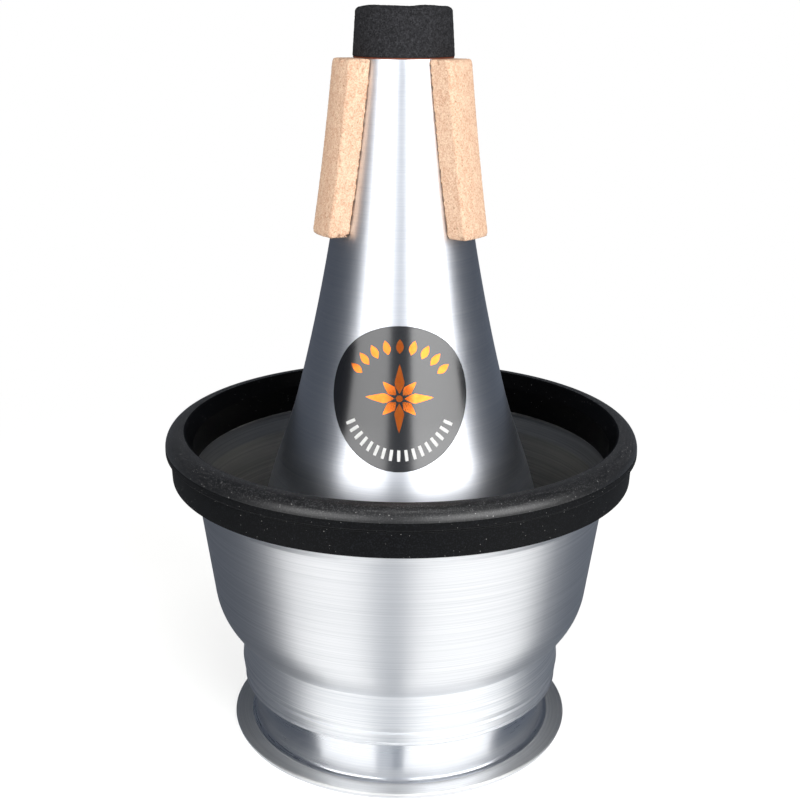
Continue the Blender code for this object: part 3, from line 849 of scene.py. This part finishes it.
white_ink, tree, output = new_tree("white_screen_ink")
patchy = add(tree, "ShaderNodeTexNoise", {"Scale": 1.0 / INK_PATCH, "Detail": 2.0},
             Vector=add(tree, "ShaderNodeTexCoord").outputs["Object"])
tint = add(tree, "ShaderNodeMix", {"data_type": "RGBA", 6: linear("#d6d6d4"), 7: linear("#f4f4f2")},
           i0=patchy.outputs["Fac"])
ink = add(tree, "ShaderNodeBsdfPrincipled", {"Roughness": 0.4}, **{"Base Color": tint.outputs[2]})
tree.links.new(ink.outputs[0], output.inputs["Surface"])

film_steps = np.linspace(0.0, LABEL_RADIUS - FILM_THICKNESS / 2.0, FILM_RINGS)
film_outline = [(r, 0.0) for r in film_steps] + [(LABEL_RADIUS, FILM_THICKNESS / 2.0)]
film_outline += [(r, FILM_THICKNESS) for r in film_steps[::-1]]
label_film = turn("label_film", film_outline, [gloss_film], facets=FILM_FACETS)
wrap_on_cone(label_film, FILM_BED)

# Shares of the full breadth, from foot to point. Then, for each print: its mark, finish and
# count, the circle it starts from, the azimuth of the first copy and the step, both in degrees.
MARKS = marks_tree()
petal = (0.02, 0.55, 1.0, 0.78, 0.56, 0.34, 0.02)
leaf = (0.02, 0.7, 1.0, 0.9, 0.6, 0.02)
tick = (0.9, 1.0, 1.0, 0.9)
PRINTS = {
    "rose_long": (mark("long_petal", ROSE_LONG, petal, ROSE_BREADTH), hot_foil, 4, ROSE_GAP, 0.0, 90.0),
    "rose_short": (mark("short_petal", ROSE_SHORT, petal, ROSE_BREADTH), hot_foil, 4, ROSE_GAP, 45.0,
                   90.0),
    "leaf_row": (mark("leaf", LEAF_LENGTH, leaf, LEAF_BREADTH), hot_foil, 9, LEAF_CIRCLE, -58.0, 14.5),
    "tick_row": (mark("tick", TICK_LENGTH, tick, TICK_BREADTH), white_ink, 17, TICK_CIRCLE, 118.0, 7.75),
}
prints = [label_film]
for name, (shape, finish, count, circle, first, step) in PRINTS.items():
    row = run_nodes(name, shape, MARKS, {"Count": count, "Circle": circle, "First": math.radians(first),
                    "Step": math.radians(step), "Finish": finish})
    wrap_on_cone(row, FILM_BED + FILM_THICKNESS)
    prints.append(row)
hub_outline = [(0.0, -PRINT_SUNK), (HUB_RADIUS, -PRINT_SUNK)]
hub_outline += [(HUB_RADIUS, PRINT_PROUD), (0.0, PRINT_PROUD)]
hub = turn("rose_hub", hub_outline, [hot_foil], facets=HUB_FACETS)
wrap_on_cone(hub, FILM_BED + FILM_THICKNESS)
for piece in prints + [hub]:
    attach(piece, "mute")
    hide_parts("label")


# Cup bowl: a second spinning with a lip, a fine groove and a swollen collar at its foot, a round
# belly, and a rim bent out for the rubber. Turning lines show most on the collar.
BOWL_WALL = 0.6 * MM
COLLAR_SWELL = 0.8 * MM
NECK_SWELL = 0.2 * MM
GROOVE_DEPTH = 0.5 * MM
GROOVE_HEIGHT = 3.6 * MM
GROOVE_ROUND = 0.2 * MM
COLLAR_ROUND = 0.7 * MM
NECK_HEIGHT = 12.5 * MM
NECK_ROUND = 0.4 * MM
TURNED_PAST_NECK = 0.5 * MM
BELLY_FLARE = 4.3 * MM
BELLY_HEIGHT = 17.4 * MM
BELLY_ROUND = 18.0 * MM
RIM_FLARE = 2.5 * MM
RIM_CREASE_HEIGHT = 49.5 * MM
RIM_CREASE_ROUND = 1.5 * MM
RIM_RISE = 3.9 * MM
LIP_RADIUS = 38.6 * MM
LIP_BEAD = 0.4 * MM
BOWL_ARC_STEPS = 14
bowl_low, bowl_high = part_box("cup_bowl")
CUP_FOOT = bowl_low[2]
RIM_RADIUS = bowl_high[0]

crease = RIM_RADIUS - RIM_FLARE
collar = LIP_RADIUS + COLLAR_SWELL
bowl_corners = [
    (RIM_RADIUS, bowl_high[2], 0.0),
    (RIM_RADIUS, CUP_FOOT + RIM_CREASE_HEIGHT + RIM_RISE, RIM_CREASE_ROUND),
    (crease, CUP_FOOT + RIM_CREASE_HEIGHT, RIM_CREASE_ROUND),
    (crease - BELLY_FLARE, CUP_FOOT + BELLY_HEIGHT, BELLY_ROUND),
    (LIP_RADIUS + NECK_SWELL, CUP_FOOT + NECK_HEIGHT, NECK_ROUND),
    (collar, CUP_FOOT + GROOVE_HEIGHT + 2.0 * COLLAR_ROUND, COLLAR_ROUND),
    (collar - GROOVE_DEPTH, CUP_FOOT + GROOVE_HEIGHT, 0.0),
    (collar - GROOVE_DEPTH / 2.0, CUP_FOOT + GROOVE_HEIGHT - GROOVE_DEPTH, GROOVE_ROUND),
    (LIP_RADIUS, CUP_FOOT + 2.0 * LIP_BEAD, LIP_BEAD / 2.0),
    (LIP_RADIUS + LIP_BEAD, CUP_FOOT + LIP_BEAD, LIP_BEAD / 2.0),
    (LIP_RADIUS, CUP_FOOT, 0.0),
]
# Even satin on the belly and coarser turning lines on the collar; the inside is left as spun
brushed_cup = spun_metal("satin_spun_aluminium_cup", "#e6e7ea", "#d5d7da", 0.43, 0.03, 0.005, 0.0, 0.35)
turned_collar = spun_metal("turned_aluminium_collar", "#f3f4f6", "#d9dce0", 0.50, 0.06, 0.012, 0.001,
                           0.30)
outer = rounded(bowl_corners, BOWL_ARC_STEPS)
collar_top = CUP_FOOT + NECK_HEIGHT + TURNED_PAST_NECK
zones = [float(p.y < collar_top) for p in outer] + [1.0] + [2.0] * (len(outer) + 1)
bowl = turn("spun_cup", sheet_outline(outer, BOWL_WALL), [brushed_cup, turned_collar, as_spun], zones)
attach(bowl, "cup")
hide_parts("cup_bowl")


# Grip ring: a soft black rubber band between collar and skirt, which holds the cup by friction.
# Its ground surface is matt, with a fine, uneven grain.
GRIP_GRAIN = 0.4 * MM
GRIP_GRAIN_DEPTH = 0.02 * MM
friction_rubber, tree, output = new_tree("soft_friction_rubber")
ground = add(tree, "ShaderNodeTexNoise", {"Scale": 1.0 / GRIP_GRAIN, "Detail": 2.0},
             Vector=add(tree, "ShaderNodeTexCoord").outputs["Object"])
tint = add(tree, "ShaderNodeMix", {"data_type": "RGBA", 6: linear("#1c1c1e"), 7: linear("#2a2a2c")},
           i0=ground.outputs["Fac"])
relief = add(tree, "ShaderNodeBump", {"Strength": 1.0, "Distance": GRIP_GRAIN_DEPTH},
             Height=ground.outputs["Fac"])
band = add(tree, "ShaderNodeBsdfPrincipled", {"Roughness": 0.85}, **{"Base Color": tint.outputs[2],
           "Normal": relief.outputs[0]})
tree.links.new(band.outputs[0], output.inputs["Surface"])
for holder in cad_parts["grip_ring"].material_slots:
    holder.material = friction_rubber


# Rim ring: moulded black rubber with a round bead on top and a slot that grips the bowl's rim.
# Its matt skin holds pale dust, and the mould's parting line runs under the bead.
BEAD_ROUND = 3.4 * MM
POLISHED_SHARE = 0.95
BEAD_HEIGHT = 4.8 * MM
BAND_WALL = 3.2 * MM
FOOT_WALL = 2.9 * MM
RING_GAP = 0.3 * MM
INNER_WALL = 1.0 * MM
MOUTH_FLARE = 1.9 * MM
MOUTH_DEPTH = 3.4 * MM
MOUTH_STRAIGHT = 2.0 * MM
EDGE_ROUND = 0.5 * MM
INNER_CLEARANCE = 1.1 * MM
RING_ARC_STEPS = 12
RING_CREASE = 50.0
RUBBER_GRAIN = 0.3 * MM
RUBBER_RELIEF = 0.02 * MM
RUBBER_SPREAD = 0.06
DUST_SPACING = 0.6 * MM
PARTING_LINE = 0.18 * MM
PARTING_ROUND = 0.1 * MM
ring_low, ring_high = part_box("rim_bumper")


def rubber_skin(name, shade, worn_shade, roughness, specular, sheen, dust_share):
    """Black rubber from a mould: fine dust lies where it faces up, with specks of pale lint."""
    material, tree, output = new_tree(name)
    place = add(tree, "ShaderNodeTexCoord").outputs["Object"]
    cloud = add(tree, "ShaderNodeTexNoise", {"Scale": 1.0 / RUBBER_GRAIN, "Detail": 3.0}, Vector=place)
    tone = add(tree, "ShaderNodeMapRange", {"From Min": 0.50, "From Max": 0.66},
               Value=cloud.outputs["Fac"])
    facing = add(tree, "ShaderNodeSeparateXYZ",
                 Vector=add(tree, "ShaderNodeNewGeometry").outputs["Normal"])
    upward = add(tree, "ShaderNodeMapRange", {"interpolation_type": "SMOOTHSTEP", "From Min": 0.1,
                 "From Max": 1.0, "To Min": 0.3}, Value=facing.outputs["Z"])
    settled = add(tree, "ShaderNodeMath", {"operation": "MULTIPLY"}, i0=tone.outputs[0],
                  i1=upward.outputs[0])
    colour = add(tree, "ShaderNodeMix", {"data_type": "RGBA", 6: linear(shade), 7: linear(worn_shade)},
                 i0=settled.outputs[0])
    specks = add(tree, "ShaderNodeTexVoronoi", {"Scale": 1.0 / DUST_SPACING}, Vector=place)
    luck = add(tree, "ShaderNodeSeparateColor", Color=specks.outputs["Color"])
    size = add(tree, "ShaderNodeMapRange", {"From Min": 0.65, "From Max": 1.0, "To Max": dust_share},
               Value=luck.outputs[0])
    near = add(tree, "ShaderNodeMath", {"operation": "LESS_THAN"}, i0=specks.outputs["Distance"],
               i1=size.outputs[0])
    dusty = add(tree, "ShaderNodeMix", {"data_type": "RGBA", 7: linear("#858483")}, i0=near.outputs[0],
                i6=colour.outputs[2])
    matt = add(tree, "ShaderNodeMapRange", {"To Min": roughness - RUBBER_SPREAD,
               "To Max": roughness + RUBBER_SPREAD}, Value=cloud.outputs["Fac"])
    relief = add(tree, "ShaderNodeBump", {"Strength": 1.0, "Distance": RUBBER_RELIEF},
                 Height=cloud.outputs["Fac"])
    rubber = add(tree, "ShaderNodeBsdfPrincipled", {"IOR": 1.52, "Specular IOR Level": specular,
                 "Sheen Weight": sheen, "Sheen Roughness": 0.5},
                 **{"Base Color": dusty.outputs[2], "Roughness": matt.outputs[0],
                 "Normal": relief.outputs[0]})
    tree.links.new(rubber.outputs[0], output.inputs["Surface"])
    return material


slot_outer = RIM_RADIUS + RING_GAP
slot_inner = RIM_RADIUS - BOWL_WALL - RING_GAP
slot_top = bowl_high[2] + RING_GAP
ring_top = ring_high[2]
ring_foot = ring_low[2]
ring_radius = ring_high[0]
bead_foot = ring_top - BEAD_HEIGHT
band_radius = slot_outer + BAND_WALL
ring_inner = slot_inner - INNER_WALL
inner_foot = CUP_FOOT + RIM_CREASE_HEIGHT + RIM_RISE + INNER_CLEARANCE
ring_corners = [
    (ring_inner, ring_top - MOUTH_DEPTH - MOUTH_STRAIGHT, 0.0),
    (ring_inner, ring_top - MOUTH_DEPTH, EDGE_ROUND),
    (ring_inner + MOUTH_FLARE, ring_top, 2.0 * EDGE_ROUND),
    (ring_radius, ring_top, BEAD_ROUND),
    (ring_radius, bead_foot, EDGE_ROUND),
    (band_radius, bead_foot, PARTING_ROUND),
    (band_radius, bead_foot - PARTING_LINE, PARTING_ROUND / 2.0),
    (band_radius + PARTING_LINE, bead_foot - 2.0 * PARTING_LINE, PARTING_ROUND),
    (band_radius, bead_foot - 3.5 * PARTING_LINE, PARTING_ROUND),
    (slot_outer + FOOT_WALL, ring_foot, EDGE_ROUND),
    (slot_outer, ring_foot, 0.0),
    (slot_outer, slot_top, 0.0),
    (slot_inner, slot_top, 0.0),
    (slot_inner, inner_foot, 0.0),
    (ring_inner, inner_foot, 0.0),
]
# Matt band, worn and dusty bead, and inside the mouth a skin with fewer specks, whose darker dust
# tone is a painted shade
rubber_skins = [
    rubber_skin("moulded_rubber_band", "#050608", "#2c2f34", 0.60, 0.10, 0.03, 0.17),
    rubber_skin("moulded_rubber_bead", "#050506", "#4b4b4c", 0.36, 0.70, 0.04, 0.24),
    rubber_skin("moulded_rubber_mouth", "#050506", "#141415", 0.40, 0.06, 0.0, 0.14),
]
ring_points = rounded(ring_corners, RING_ARC_STEPS)
polished_foot = ring_top - BEAD_ROUND * POLISHED_SHARE
zones = []
for point in ring_points:
    outside = point.x > ring_inner + MOUTH_FLARE + EDGE_ROUND / 2.0
    zones.append(float(point.y > polished_foot) if outside else 2.0)
ring = turn("rubber_rim", ring_points, rubber_skins, zones, crease=RING_CREASE)
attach(ring, "cup")
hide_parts("rim_bumper")
